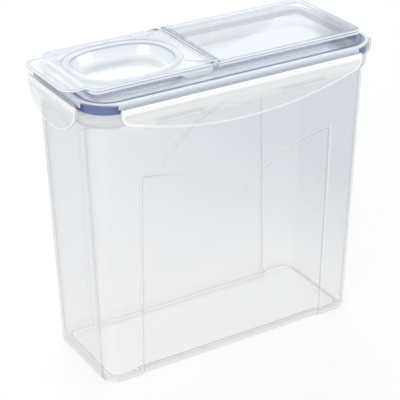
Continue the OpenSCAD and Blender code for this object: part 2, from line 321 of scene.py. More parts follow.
class Nodes:
    """A short way to add and join the shader nodes of a material or a world."""

    def __init__(self, owner: Material | World, output: str = "ShaderNodeOutputMaterial") -> None:
        """Empties the owner's tree and adds its output."""
        owner.use_nodes = True
        self.tree = owner.node_tree
        self.tree.nodes.clear()
        self.output = self.add(output)

    def add(
        self, kind: str, inputs: dict[str | int, object] | None = None, **settings: object
    ) -> Node:
        """Adds a node.

        Args:
            kind: the node's type.
            inputs: a socket, a number or a colour for each input, by its name or its place.
            settings: the node's own properties.

        Returns:
            The node.
        """
        node = self.tree.nodes.new(kind)
        for key, value in settings.items():
            setattr(node, key, value)
        for key, value in (inputs or {}).items():
            if isinstance(value, Socket):
                self.tree.links.new(value, node.inputs[key])
            else:
                value = (*value, 1.0) if isinstance(value, tuple) else value
                node.inputs[key].default_value = value
        return node

    def show(self, shader: Node) -> None:
        """Joins a shader to the output."""
        self.tree.links.new(shader.outputs[0], self.output.inputs["Surface"])

    def math(self, kind: str, first: object, second: object, clamp: bool = False) -> Socket:
        """The result of a math node on two sockets or numbers, kept from 0 to 1 if clamped."""
        settings = {"operation": kind, "use_clamp": clamp}
        return self.add("ShaderNodeMath", {0: first, 1: second}, **settings).outputs[0]

    def between(self, low: float, high: float, share: Socket) -> Socket:
        """A number that runs from low to high as the share runs from 0 to 1."""
        inputs = {"Value": share, "To Min": low, "To Max": high}
        return self.add("ShaderNodeMapRange", inputs).outputs[0]

    def ramp(self, value: Socket, start: float, stop: float) -> Socket:
        """A smooth step of a value between two ends."""
        inputs = {"Value": value, "From Min": start, "From Max": stop}
        kind = "SMOOTHSTEP"
        return self.add("ShaderNodeMapRange", inputs, interpolation_type=kind).outputs[0]

    def blend(self, first: object, second: object, share: Socket) -> Socket:
        """A colour that runs from the first to the second as the share runs from 0 to 1."""
        inputs = {"Factor": share, "A": first, "B": second}
        node = self.add("ShaderNodeMix", inputs, data_type="RGBA")
        return next(output for output in node.outputs if output.type == "RGBA")

    def mixed(self, share: Socket, first: Node, second: Node) -> Node:
        """A shader that runs from the first to the second as the share runs from 0 to 1."""
        inputs = {"Fac": share, 1: first.outputs[0], 2: second.outputs[0]}
        return self.add("ShaderNodeMixShader", inputs)

    def noise(self, scale: float, detail: float = 2.0) -> Socket:
        """A soft random pattern fixed to the piece, its size set by a scale per metre."""
        place = self.add("ShaderNodeTexCoord").outputs["Object"]
        inputs = {"Vector": place, "Scale": scale, "Detail": detail}
        return self.add("ShaderNodeTexNoise", inputs).outputs["Fac"]

    def bump(self, height: Socket, distance: float, strength: float) -> Socket:
        """A bumped normal from a height pattern."""
        inputs = {"Height": height, "Distance": distance, "Strength": strength}
        return self.add("ShaderNodeBump", inputs).outputs["Normal"]

    def facing(self, weight: float) -> Socket:
        """A number that runs from 0, face on, to 1 where the eye looks along the surface."""
        return self.add("ShaderNodeLayerWeight", {"Blend": weight}).outputs["Facing"]

    def looked_at(self) -> Socket:
        """1 for a ray of sight, straight, mirrored or through plastic, and 0 for lighting."""
        rays = self.add("ShaderNodeLightPath").outputs
        seen = self.math("MAXIMUM", rays["Is Camera Ray"], rays["Is Glossy Ray"])
        return self.math("MAXIMUM", seen, rays["Is Transmission Ray"])


@dataclass(frozen=True)
class ClearPlastic:
    """Moulded clear polypropylene under a gloss skin.

    A share of milky plastic is mixed with a tinted see-through shader. The share runs from haze,
    face on, to edge_haze, where the eye looks along the wall, as the facing number to the power
    falloff. It grows by high_haze over the tint heights, a soft cloudiness varies it, and back
    faces keep back_share of it. Line values add to it: above 0 they paint shade, turning the milk
    towards deep_milk, and below 0 they paint highlights, turning it towards
    painted_highlight_milk; back faces keep back_lines of them. The tint runs from low_tint to
    high_tint over the tint heights, times tint_spread from the left end to the right; on the
    container this paints blue-grey shade with the blue seal's light towards the top, stronger to
    the right. The skin reflects head_on of the light face on and grazing of it along the wall, as
    the facing number to the fifth power.
    """

    name: str
    haze: float
    edge_haze: float
    milk: Colour
    edge_milk: Colour
    # Colour of the painted shade that line values above 0 add.
    deep_milk: Colour
    low_tint: Colour
    high_tint: Colour
    edge_tint: Colour
    # Colour of the painted highlights that line values below 0 add.
    painted_highlight_milk: Colour = (1.0, 1.0, 1.0)
    roughness: float = 0.14
    wear: Pair = (0.85, 1.2)
    head_on: float = 0.07
    grazing: float = 0.9
    cloud: float = 0.012
    falloff: float = 2.6
    # How far the painted shade and highlight lines make the plastic milky.
    deep_share: float = 0.8
    line_gain: float = 2.0
    back_share: float = 0.3
    back_lines: float = 0.12
    high_haze: float = 0.0
    tint_heights: Pair = (0.03, 0.2)
    tint_reach: float = 0.12
    tint_spread: Pair = (1.0, 1.0)
    cloud_scale: float = 14.0
    wear_scale: float = 60.0
    bump_scale: float = 35.0
    bump_depth: float = 0.0003
    bump_strength: float = 0.2

    def material(self) -> Material:
        """Makes the material."""
        made = bpy.data.materials.new(self.name)
        nodes = Nodes(made)
        facing = nodes.facing(0.5)
        edge = nodes.math("POWER", facing, self.falloff)
        # Line values paint shade above 0 and highlights below 0 into the milk.
        line = nodes.add("ShaderNodeAttribute", attribute_name=LINE).outputs["Fac"]
        deep = nodes.math("MAXIMUM", line, 0.0)
        pale = nodes.math("MAXIMUM", nodes.math("MULTIPLY", line, -1.0), 0.0)
        behind = nodes.add("ShaderNodeNewGeometry").outputs["Backfacing"]
        front = nodes.math("SUBTRACT", 1.0, behind)

        coordinates = nodes.add("ShaderNodeTexCoord").outputs["Object"]
        place = nodes.add("ShaderNodeSeparateXYZ", {0: coordinates}).outputs
        high = nodes.ramp(place["Z"], *self.tint_heights)
        rightwards = nodes.ramp(place["X"], -self.tint_reach, self.tint_reach)
        spread = nodes.between(*self.tint_spread, rightwards)

        cloudiness = nodes.between(-self.cloud, self.cloud, nodes.noise(self.cloud_scale, 3.0))
        haze = nodes.math("ADD", nodes.between(self.haze, self.edge_haze, edge), cloudiness)
        haze = nodes.math("ADD", haze, nodes.math("MULTIPLY", high, self.high_haze))
        haze = nodes.math("MULTIPLY", haze, nodes.between(self.back_share, 1.0, front))
        lines = nodes.math("MULTIPLY", nodes.math("ADD", deep, pale), self.deep_share)
        lines = nodes.math("MULTIPLY", lines, nodes.between(self.back_lines, 1.0, front))
        haze = nodes.math("ADD", haze, lines, clamp=True)

        # Tint by height and towards the right: on the container, painted blue-grey shade with the
        # blue seal's light.
        tint_share = nodes.math("MULTIPLY", high, spread, clamp=True)
        tint = nodes.blend(self.low_tint, self.high_tint, tint_share)
        tint = nodes.blend(tint, self.edge_tint, edge)
        see_through = nodes.add("ShaderNodeBsdfTransparent", {"Color": tint})

        milk = nodes.blend(self.milk, self.edge_milk, edge)
        for end, value in ((self.deep_milk, deep), (self.painted_highlight_milk, pale)):
            share = nodes.math("MULTIPLY", value, self.line_gain, clamp=True)
            milk = nodes.blend(milk, end, share)
        rough = [self.roughness * share for share in self.wear]
        uneven = nodes.noise(self.bump_scale, 1.0)
        gloss = {
            "Roughness": nodes.between(*rough, nodes.noise(self.wear_scale)),
            "Normal": nodes.bump(uneven, self.bump_depth, self.bump_strength),
        }
        solid = nodes.add("ShaderNodeBsdfPrincipled", {"Base Color": milk, **gloss})
        skin = nodes.add("ShaderNodeBsdfGlossy", gloss)
        shine = nodes.between(self.head_on, self.grazing, nodes.math("POWER", facing, 5.0))
        shine = nodes.math("MULTIPLY", shine, front)
        nodes.show(nodes.mixed(shine, nodes.mixed(haze, see_through, solid), skin))
        return made


@dataclass(frozen=True)
class Silicone:
    """Soft seal rubber, a little see-through, deeper in colour where the eye looks along it."""

    name: str
    colour: Colour
    edge_colour: Colour
    solidity: float
    cloud: float = 0.04
    roughness: float = 0.38
    wear: Pair = (0.8, 1.2)
    cloud_scale: float = 80.0
    wear_scale: float = 150.0
    grain_scale: float = 900.0
    grain_depth: float = 0.0001
    grain_strength: float = 0.3

    def material(self) -> Material:
        """Makes the material."""
        made = bpy.data.materials.new(self.name)
        nodes = Nodes(made)
        rough = [self.roughness * share for share in self.wear]
        grain = nodes.noise(self.grain_scale)
        solid = nodes.add(
            "ShaderNodeBsdfPrincipled",
            {
                "Base Color": nodes.blend(self.colour, self.edge_colour, nodes.facing(0.4)),
                "Roughness": nodes.between(*rough, nodes.noise(self.wear_scale)),
                "Normal": nodes.bump(grain, self.grain_depth, self.grain_strength),
            },
        )
        see_through = nodes.add("ShaderNodeBsdfTransparent", {"Color": self.colour})
        low, high = self.solidity - self.cloud, min(1.0, self.solidity + self.cloud)
        cloudy = nodes.between(low, high, nodes.noise(self.cloud_scale))
        nodes.show(nodes.mixed(cloudy, see_through, solid))
        return made


BODY_PLASTIC = ClearPlastic(
    "clear_body_plastic",
    haze=0.025,
    edge_haze=0.6,
    milk=(0.94, 0.94, 0.94),
    edge_milk=(0.70, 0.72, 0.76),
    deep_milk=(0.36, 0.38, 0.43),
    low_tint=(1.0, 0.998, 0.994),
    # Towards the top and to the right the see-through tint turns blue-grey: painted shade with the
    # blue seal's light.
    high_tint=(0.916, 0.924, 0.938),
    edge_tint=(0.86, 0.87, 0.89),
    falloff=3.6,
    tint_heights=(-0.02, 0.18),
    tint_spread=(0.55, 1.3),
)
LID_PLASTIC = ClearPlastic(
    "clear_lid_plastic",
    haze=0.06,
    edge_haze=0.32,
    milk=(0.95, 0.965, 0.975),
    edge_milk=(0.74, 0.79, 0.87),
    deep_milk=(0.13, 0.21, 0.45),
    low_tint=(0.99, 0.993, 0.997),
    high_tint=(0.99, 0.993, 0.997),
    edge_tint=(0.88, 0.91, 0.955),
    painted_highlight_milk=(0.90, 0.95, 1.0),
)
TOP_PLASTIC = ClearPlastic(
    "clear_top_plastic",
    haze=0.2,
    edge_haze=0.38,
    milk=(0.90, 0.925, 0.92),
    edge_milk=(0.84, 0.87, 0.91),
    deep_milk=(0.36, 0.42, 0.56),
    low_tint=(0.982, 0.989, 0.993),
    high_tint=(0.982, 0.989, 0.993),
    edge_tint=(0.94, 0.96, 0.98),
    painted_highlight_milk=(0.97, 0.98, 1.0),
    roughness=0.1,
    head_on=0.11,
    grazing=0.35,
)
FLAP_PLASTIC = replace(
    TOP_PLASTIC,
    name="clear_flap_plastic",
    haze=0.4,
    edge_haze=0.6,
    milk=(0.88, 0.905, 0.895),
    deep_milk=(0.38, 0.43, 0.58),
    painted_highlight_milk=(0.94, 0.965, 1.0),
)
LATCH_PLASTIC = ClearPlastic(
    "clear_latch_plastic",
    haze=0.14,
    edge_haze=0.6,
    milk=(0.99, 0.985, 0.97),
    edge_milk=(0.88, 0.895, 0.91),
    deep_milk=(0.13, 0.15, 0.22),
    low_tint=(0.975, 0.985, 0.99),
    high_tint=(0.99, 0.988, 0.985),
    edge_tint=(0.88, 0.90, 0.93),
    high_haze=0.46,
    tint_heights=(0.205, 0.214),
)
GASKET_SILICONE = Silicone("blue_silicone", (0.16, 0.21, 0.39), (0.09, 0.12, 0.28), 0.92)
SEAL_SILICONE = Silicone("pale_blue_silicone", (0.80, 0.85, 0.97), (0.70, 0.76, 0.94), 0.2)


# --- The container ---


def wall_lay() -> Lay:
    """Points close together near the grips' upright edges and further apart elsewhere."""
    near = np.arange(74.0, 87.0, 0.65)
    x = np.concatenate([np.arange(0.75, 74.0, 1.5), near, [89.0, 92.0]])
    x = np.concatenate([-x[::-1], x])
    return Lay(13, (x + CORE.half_x) / (2 * CORE.half_x), np.linspace(0, 1, 22)[1:-1])


@dataclass
class Container:
    """The tall container with its pressed-in wall grips, rim band and foot ring.

    left_fade says how far left of the middle the left grips' lines begin and over what length they
    grow: lines of painted highlight and shade along the creases. far_share is what the far wall's
    left half keeps of its lines. painted_corner_lines gives height, angle in degrees and spread of
    each soft line along the upright corners: painted shade above 0 and a painted highlight below 0.
    """

    core: Rounded = replace(CORE, lay=wall_lay())
    panel: Rounded = Rounded(104.0, 33.2, 9.0, lay=wall_lay())
    panel_rise: float = 1.0
    panel_edge: float = 0.6
    wall: float = 1.6
    floor: float = 2.2
    height: float = 218.0
    base_r: float = 14.0
    flare: float = 6.8
    rim_out: float = 2.2
    band_z: float = 208.8
    wall_z: Pair = (8.0, 205.0)
    grip_depth: float = 1.8
    grip_hx: float = 80.6
    sweep_r: float = 133.0
    sweep_x: float = 89.6
    sweep_z: float = 34.9
    crease: float = 3.2
    edge_crease: float = 0.7
    meeting: float = 3.0
    fade_from: float = 34.0
    fade_over: float = 100.0
    fade_power: float = 0.8
    left_fade: Pair = (44.0, 22.0)
    # Crease lines: a painted highlight on each crease's outer half and painted shade on its inner
    # half.
    painted_crease_line: float = 0.7
    far_share: float = 0.4
    inner_grow: float = 1.0
    # Painted shade and a painted highlight along the upright corners.
    painted_corner_lines: tuple[tuple[float, float, float], ...] = ((0.45, 15.0, 8.0), (-0.2, 48.0, 14.0))

    def radius(self, z: float | Array) -> float | Array:
        """The wall's corner radius at a height: it grows evenly from the base to the rim."""
        return self.base_r + self.flare * z / self.height

    def press(self, x: Array, z: Array, grow: float) -> tuple[Array, Array]:
        """How far a long wall is pressed in.

        Each of two mirrored swooshes lies inside a great circle and an upright edge. Its share is
        a smooth step of the lesser distance to the two, and it fades past the middle; the two
        shares are added.

        Args:
            x: places along the wall.
            z: heights.
            grow: how far the outlines are grown, for the inner face.

        Returns:
            The depths, and a line value that paints a highlight on a crease's outer half and shade
            on its inner half.
        """
        total, line = np.zeros((2, *np.broadcast(x, z).shape))
        for side in (-1.0, 1.0):
            edge = (self.grip_hx + grow - side * x) / (self.edge_crease * self.crease)
            reach = np.hypot(x - side * self.sweep_x, z - self.sweep_z)
            arc = (self.sweep_r + grow - reach) / self.crease
            inside = -np.logaddexp(-self.meeting * edge, -self.meeting * arc) / self.meeting
            step = np.clip(inside, 0.0, 1.0)
            fade = np.clip((side * x + self.fade_from) / self.fade_over, 0.0, 1.0)
            fade = fade**self.fade_power
            total += step * step * (3.0 - 2.0 * step) * fade
            start, over = self.left_fade
            seen = fade if side > 0 else np.clip((-x - start) / over, 0.0, 1.0)
            line -= np.sin(2.0 * pi * step) * seen
        return self.grip_depth * np.clip(total, 0.0, 1.0), line

    def pressed(self, rings: Array, grow: float = 0.0) -> Array:
        """Presses in the long walls' points of these rings, and paints the highlight and shade
        lines that this makes.

        Args:
            rings: an array of rings by points by 4, which is changed.
            grow: how far the grips' outlines are grown; at 0 the corners' painted lines are drawn
                too.

        Returns:
            The same rings.
        """
        on_wall = (np.abs(rings[..., 0]) < CORE.half_x) & (np.abs(rings[..., 1]) > CORE.half_y)
        depth, line = self.press(rings[..., 0], rings[..., 2], grow)
        rings[..., 1] -= np.where(on_wall, np.sign(rings[..., 1]) * depth, 0.0)
        if grow == 0.0:
            around = corner_angle(rings)
            corner = sum(value * bell(around, *place) for value, *place in self.painted_corner_lines)
            rings[..., 3] += np.where(on_wall, 0.0, corner)
        far = (rings[..., 0] < 0) & (rings[..., 1] > 0)
        line = self.painted_crease_line * line * np.where(far, self.far_share, 1.0)
        rings[..., 3] += np.where(on_wall, line, 0.0)
        return rings

    def surface(self) -> Surface:
        """One closed skin: foot ring, outer wall, rim band, inner wall and floor.

        The rings are rounded rectangles whose radius follows the wall's profile from the raised
        panel under the floor round to the floor's top.
        """
        ring, radius, wall = self.core.ring, self.radius, self.wall
        first, last = self.wall_z
        # Rows lie close together where the grips' curved edges cross the wall.
        runs = [np.linspace(first, 122.0, 14), np.arange(124.0, 171.0), np.linspace(173.0, last, 8)]
        heights = np.concatenate(runs)
        # The line values of these tables paint shade along the foot, the rim band and the floor's
        # edge, and a highlight just inside the floor's edge.
        panel = [(-self.panel_edge, self.panel_rise, 0.0, 0.0), (0.0, 0.0, 0.35, 0.5)]
        base = [(self.base_r, 0.0, 0.25, 3.4), (radius(first), first, 0.0, 0.0)]
        foot = softened(drawn(self.panel.ring, panel) + drawn(ring, base), steps=7)[:-1]
        outer = np.stack([ring(radius(z), z) for z in heights])
        inner = np.stack([ring(radius(z) - wall, z) for z in heights[::-1]])
        band = radius(self.height) + self.rim_out
        rim = [
            (radius(self.band_z), self.band_z, 0.3, 0.6),
            (band, self.band_z, 0.4, 1.2),
            (band, self.height, 0.35, 0.6),
            (radius(self.height) - wall, self.height, 0.1, 0.4),
            (radius(last) - wall, last, 0.0, 0.0),
        ]
        rim = softened([(outer[-1], 0.0)] + drawn(ring, rim), steps=5)[1:-1]
        inside = radius(self.floor) - wall
        floor = [
            (inside, self.floor, 0.1, 6.0),
            (inside - 6.2, self.floor, 0.5, 0.0),
            (inside - 7.1, self.floor, -0.7, 0.0),
            (inside - 9.0, self.floor, -0.3, 0.0),
        ]
        floor = softened([(inner[-1], 0.0)] + drawn(ring, floor), steps=9)[1:]
        foot[1:] = self.pressed(foot[1:])
        floor[:-1] = self.pressed(floor[:-1], self.inner_grow)
        inner = self.pressed(inner, self.inner_grow)
        return Surface().loft(np.concatenate([foot, self.pressed(outer), rim, inner, floor]))

    def dress(self, middle_x: float) -> list[Piece]:
        """Builds the container and gives it its finish."""
        piece = build(self.surface(), "container_shell", middle_x, BODY_PLASTIC.material())
        return [mounted(piece, "root", "container_body")]


# --- The lid ---


@dataclass(frozen=True)
class Oval:
    """The oval that the pouring mouth, the plug and its seal share."""

    centre_x: float = -66.5
    a: float = 37.0
    b: float = 27.6
    power: float = 2.45

    def ring(self, angle: Array, grow: float, z: float, line: float = 0.0) -> Array:
        """The oval grown by a distance.

        The reach at an angle is (|cos/a| to the power + |sin/b| to the power) to the -1/power.

        Args:
            angle: angles about the oval's middle, one for each point.
            grow: how far its half length and half width are grown.
            z: the ring's height.
            line: its line value.

        Returns:
            The ring.
        """
        share = np.abs(np.cos(angle) / (self.a + grow)) ** self.power
        share = share + np.abs(np.sin(angle) / (self.b + grow)) ** self.power
        reach = share ** (-1.0 / self.power)
        outline = [self.centre_x + reach * np.cos(angle), reach * np.sin(angle)]
        return lift(np.stack(outline, -1), z, line)

    def facing(self, ring: Array) -> Callable[..., Array]:
        """Draws the oval's rings with a point towards each point of another ring."""
        angle = np.unwrap(np.arctan2(ring[:, 1], ring[:, 0] - self.centre_x))
        return partial(self.ring, np.maximum.accumulate(angle))


OVAL = Oval()


@dataclass
class LidFrame:
    """The clip-down frame: flange with groove, hinge rails, skirt, deck and pouring collar.

    painted_corner_shade is the line value that the flange's side gains at each corner, painted
    shade, and corner_place the angle and spread in degrees that it is gained over.
    """

    flange_r: float = 24.2
    flange_z: float = 226.3
    flange_t: float = 1.4
    rail_z: float = 222.0
    rail_t: float = 1.2
    # A painted highlight along the hinge rails.
    rail_line: float = -0.9
    groove_r: Pair = (18.7, 19.6)
    groove_d: float = 0.6
    skirt_r: Pair = (17.4, 18.8)
    skirt_z: float = 213.0
    deck_z: Pair = (222.0, 223.6)
    wall: Rounded = Rounded(109.1, 39.1, 5.1)
    wall_t: float = 1.6
    wall_top: float = 232.1
    collar: Pair = (3.4, 4.9)
    neck_z: float = 218.0
    side_depth: float = 0.3
    # Painted shade on the flange's side at each corner.
    painted_corner_shade: float = 1.4
    corner_place: Pair = (45.0, 24.0)
    rib_shape: Rounded = Rounded(48.4, 17.7, 14.0, 46.7, Lay.even(10, 20, 8))
    # Faint painted shade on the rib.
    rib_line: float = 0.06

    def shell(self) -> Array:
        """Rings of the closed section: flange, deck wall, deck, collar, neck and skirt."""
        groove_in, groove_out = self.groove_r
        skirt_in, skirt_out = self.skirt_r
        low, deck = self.deck_z
        collar_in, collar_out = self.collar
        face, under, top = self.flange_z, self.flange_z - self.flange_t, self.wall_top
        # Line values paint a highlight on the flange's outer edge and top, a dark line of shade in
        # and beside the groove, shade on the deck wall's outer face and where it meets the deck,
        # and pale light on the deck.
        flange = [
            (self.flange_r, under, -0.7, 0.3),
            (self.flange_r, face, -1.0, 0.7),
            (groove_out + 2.7, face, -1.0, 0.0),
            (groove_out + 1.9, face, -0.6, 0.0),
            (groove_out + 1.4, face, 0.8, 0.0),
            (groove_out + 1.0, face, 0.1, 0.0),
            (groove_out + 0.5, face, 0.8, 0.0),
            (groove_out, face, 0.9, 0.1),
            (groove_out - 0.1, face - self.groove_d, 1.0, 0.1),
            (groove_in + 0.1, face - self.groove_d, 1.0, 0.1),
            (groove_in, face, 0.8, 0.1),
            (groove_in - 0.4, face, 0.05, 0.0),
        ]
        wall = [
            (1.2, face, 0.08, 0.0),
            (0.0, face, 0.3, 0.5),
            (0.0, face + 1.6, 0.5, 0.0),
            (0.0, face + 4.4, 0.5, 0.0),
            (0.0, top, 0.1, 0.4),
            (-self.wall_t, top, 0.05, 0.4),
            (-self.wall_t, deck + 6.0, -0.2, 0.0),
            (-self.wall_t, deck + 3.0, 0.1, 0.0),
            (-self.wall_t, deck, 0.45, 0.8),
            (-2 * self.wall_t, deck, -0.3, 0.0),
        ]
        collar = [
            (collar_out + 1.5, deck, -0.3, 0.0),
            (collar_out, deck, 0.1, 0.5),
            (collar_out, top, 0.05, 0.4),
            (collar_in, top, 0.05, 0.4),
            (collar_in, self.neck_z, 0.05, 0.4),
            (collar_out, self.neck_z, 0.05, 0.4),
            (collar_out, low, 0.05, 0.4),
        ]
        skirt = [
            (skirt_in, low, 0.1, 0.4),
            (skirt_in, self.skirt_z, 0.05, 0.3),
            (skirt_out, self.skirt_z, 0.05, 0.3),
            (skirt_out, under, 0.1, 0.3),
        ]
        oval = OVAL.facing(self.wall.ring(-self.wall_t, deck))
        corners = drawn(CORE.ring, flange) + drawn(self.wall.ring, wall)
        corners += drawn(oval, collar) + drawn(CORE.ring, skirt)
        rings = softened(corners, closed=True)
        over = np.abs(rings[..., :2]) - (CORE.half_x, CORE.half_y)
        outermost = np.hypot(over[..., 0], over[..., 1]) > self.flange_r - self.side_depth
        side = outermost & (rings[..., 2] > under - OVERLAP)
        gain = self.painted_corner_shade * bell(corner_angle(rings), *self.corner_place)
        rings[..., 3] += np.where(side, gain, 0.0)
        return rings

    def bar(self, half: float, off: float, angle: float) -> Surface:
        """A hinge rail under the flange's edge: a rounded box carried along a straight line.

        Args:
            half: half its length.
            off: the core's half size across it.
            angle: how far it is turned about the vertical axis from the front.

        Returns:
            The rail's surface.
        """
        top, low = self.flange_z - self.flange_t + OVERLAP, self.rail_z
        outer = off + self.flange_r
        middle, depth = outer - self.rail_t / 2, self.rail_t / 2
        out, up = np.array([(-1, 0), (1, 0), (1, 1), (-1, 1)]).T
        rings = []
        for inwards, small in ((0.0, 0.4), (0.15, 0.15), (0.6, 0.0)):
            z = np.where(up > 0, top, low + small)
            rings.append(across(half - inwards, middle + out * (depth - small), z, self.rail_line))
        return Surface().loft(doubled(rings)).turned(angle)

    def rib(self) -> Array:
        """Rings of the deck's faint stiffening rib: a low step around a rounded rectangle."""
        base = self.deck_z[1] - 2 * OVERLAP
        steps = [(0.0, 0.0), (-0.35, 0.9), (-0.8, 1.3), (-1.25, 0.9), (-1.6, 0.0)]
        rings = [self.rib_shape.ring(grow, base + rise, self.rib_line) for grow, rise in steps]
        return np.stack(rings)

    def dress(self, middle_x: float) -> list[Piece]:
        """Builds the frame and gives it its finish."""
        surface = Surface().loft(self.shell(), closed=True).loft(self.rib(), closed=True)
        for side, shape in SHAPES.items():
            surface.join(self.bar(shape.half, shape.off, side.value))
        piece = build(surface, "lid_frame_shell", middle_x, LID_PLASTIC.material())
        return [mounted(piece, "root", "lid_frame")]


@dataclass
class Gasket:
    """The blue ring that the lid presses on the container's rim."""

    core: Rounded = replace(CORE, lay=Lay.even(12, 24, 10))
    reach: Pair = (19.1, 22.7)
    z: Pair = (218.3, 224.6)
    waist: float = 0.35

    def dress(self, middle_x: float) -> list[Piece]:
        """Builds the ring, a rounded section with a shallow waist, and gives it its finish."""
        inner, outer = self.reach
        low, top = self.z
        section = [
            (inner, low, 0.0, 0.7),
            (outer, low, 0.0, 0.9),
            (outer - self.waist, (low + top) / 2, 0.0, 1.2),
            (outer, top, 0.0, 0.9),
            (inner, top, 0.0, 0.7),
        ]
        rings = softened(drawn(self.core.ring, section), closed=True)
        surface = Surface().loft(rings, closed=True)
        piece = build(surface, "gasket_ring", middle_x, GASKET_SILICONE.material())
        return [mounted(piece, "root", "lid_gasket")]


# --- Cover and flap ---


def turned_path(corners: list[Corner], inset: float, spacing: float, arc: int) -> Array:
    """A closed outline of straight runs and round corners, drawn in by an inset.

    Each run is moved in along its normal. At a corner the circle's centre lies radius from both
    runs, so an inset shrinks the radius of an outward corner and widens that of an inward one.

    Args:
        corners: x, y and radius of each corner, anticlockwise.
        inset: how far the outline is drawn in.
        spacing: distance between points on the straight runs.
        arc: points on each corner.

    Returns:
        An array of points by 2, the same number whatever the inset.
    """
    place = np.array([c[:2] for c in corners])
    size = np.array([c[2] for c in corners])
    count = len(corners)
    before, after = np.roll(place, 1, axis=0), np.roll(place, -1, axis=0)
    into = (place - before) / np.linalg.norm(place - before, axis=1, keepdims=True)
    away = (after - place) / np.linalg.norm(after - place, axis=1, keepdims=True)
    bend = into[:, 0] * away[:, 1] - into[:, 1] * away[:, 0]
    turn = np.arctan2(bend, (into * away).sum(1))
    left_in = np.stack([-into[:, 1], into[:, 0]], -1)
    sign = np.sign(turn)
    reach = size * np.tan(np.abs(turn) / 2)
    centre = place - into * reach[:, None] + left_in * (size * sign)[:, None]
    radius = size - sign * inset
    start = np.arctan2(-left_in[:, 1] * sign, -left_in[:, 0] * sign)
    arcs = []
    for k in range(count):
        angle = start[k] + turn[k] * np.linspace(0.0, 1.0, arc)
        arcs.append(centre[k] + radius[k] * np.stack([np.cos(angle), np.sin(angle)], -1))
    parts: list[Array] = []
    for k in range(count):
        following = (k + 1) % count
        run = np.linalg.norm(place[following] - place[k]) - reach[k] - reach[following]
        share = np.linspace(0.0, 1.0, max(int(run / spacing), 1) + 1)[1:-1, None]
        parts += [arcs[k], arcs[k][-1] + (arcs[following][0] - arcs[k][-1]) * share]
    return np.concatenate(parts)


def mirrored(corners: list[Corner]) -> list[Corner]:
    """Corners on the far side of an outline, followed by the same ones on the near side."""
    return corners + [(x, -y, radius) for x, y, radius in corners[::-1]]


def open_path(corners: list[Corner], spacing: float, start: Pair, gap: float) -> Array:
    """The outer face of a hanging wall that is left open along one side, seen from above.

    Args:
        corners: x, y and radius of each corner of the closed outline, anticlockwise.
        spacing: distance between points on the straight runs.
        start: the corner that the path starts beside.
        gap: how near the open side the path comes.

    Returns:
        An array of points by 2, anticlockwise.
    """
    outline = turned_path(corners, PATH_INSET, spacing, 10)
    first = int(np.argmin(np.hypot(*(outline - start).T)))
    path = np.roll(outline, -first, axis=0)
    return path[np.abs(path[:, 0] - start[0]) > gap]


@dataclass
class TopShape:
    """Sizes that cover and flap share."""

    half_x: float = 111.0
    half_y: float = 41.0
    corner: float = 7.0
    sharp: float = 0.5
    top_z: float = 234.0
    plate_t: float = 1.6
    edge_t: float = 1.5
    skirt_z: float = 230.2
    arc_points: int = 8
    # Line values over the plate's rounded edge and just inside it: painted shade lines either side
    # of a painted highlight.
    painted_edge_lines: tuple[float, ...] = (0.9, 0.2, -0.8, -0.9, 0.7, 1.0)
    painted_inner_lines: tuple[tuple[float, float, float], ...] = (
        (0.5, 0.9, 0.8),
        (1.3, 0.4, 0.6),
        (2.2, 0.1, 0.55),
        (3.2, 0.0, 0.45),
        (4.4, 0.0, 0.0),
    )
    far_y: float = 20.0
    far_over: float = 15.0
    edge_round: float = 1.5
    under_inset: float = 0.25
    # Light painted shade on the plate's underside edge.
    under_line: float = 0.3

    def plate(self, corners: list[Corner], spacing: float) -> list[Array]:
        """Rings over a plate's rounded edge, from its underside round to its top face.

        The edge is a quarter circle whose rings take the line values of painted_edge_lines: painted
        shade on the side and the top of the rounding, with a painted highlight between. Each ring
        of painted_inner_lines then gives a distance in from it, and line values for the near and
        far side, a band of painted shade that is wider on the far side.

        Args:
            corners: x, y and radius of the outline's corners.
            spacing: distance between points.

        Returns:
            The rings, the first on the underside and the last on the top face.
        """
        size, top, arc = self.edge_round, self.top_z, self.arc_points
        under = turned_path(corners, self.under_inset, spacing, arc)
        rings = [lift(under, top - self.plate_t, self.under_line)]
        for angle, line in zip(np.linspace(0.0, pi / 2, len(self.painted_edge_lines)), self.painted_edge_lines):
            outline = turned_path(corners, size * (1.0 - cos(angle)), spacing, arc)
            rings.append(lift(outline, top - size + size * sin(angle), line))
        for inset, near, far in self.painted_inner_lines:
            outline = turned_path(corners, size + inset, spacing, arc)
            back = np.clip((outline[:, 1] - self.far_y) / self.far_over, 0.0, 1.0)
            rings.append(lift(outline, top, near + (far - near) * back))
        return rings

    def skirt(self, path: Array, low: Array, line: float) -> Surface:
        """A hanging wall of rectangular section along an open path, its lower edges rounded.

        Args:
            path: the wall's outer face seen from above, an array of points by 2, anticlockwise.
            low: height of its lower edge at each point.
            line: the line value at its top.

        Returns:
            The wall's surface.
        """
        top = self.top_z - self.plate_t + OVERLAP
        way = np.gradient(path, axis=0)
        way /= np.linalg.norm(way, axis=1, keepdims=True)
        inwards = np.stack([-way[:, 1], way[:, 0]], -1)
        # Each row: share of the thickness, share of the height, rise in millimetres, line value.
        # The line values paint a highlight down the outer face and shade along the lower edge and
        # the inner face.
        section = [(0.0, 1.0, 0.0, line), (0.0, 0.8, 0.0, -0.8), (0.0, 0.35, 0.0, -0.9)]
        section += [(0.0, 0.0, 0.5, -0.8), (0.12, 0.0, 0.15, 0.7), (0.5, 0.0, 0.0, 0.3)]
        section += [(1 - share, up, rise, 0.35) for share, up, rise, _ in section[:5][::-1]]
        rings = []
        for share, up, rise, value in section:
            outline = path + inwards * (share * self.edge_t)
            rings.append(lift(outline, low + (top - low) * up + rise, value))
        return Surface().loft(np.stack(rings, axis=1))


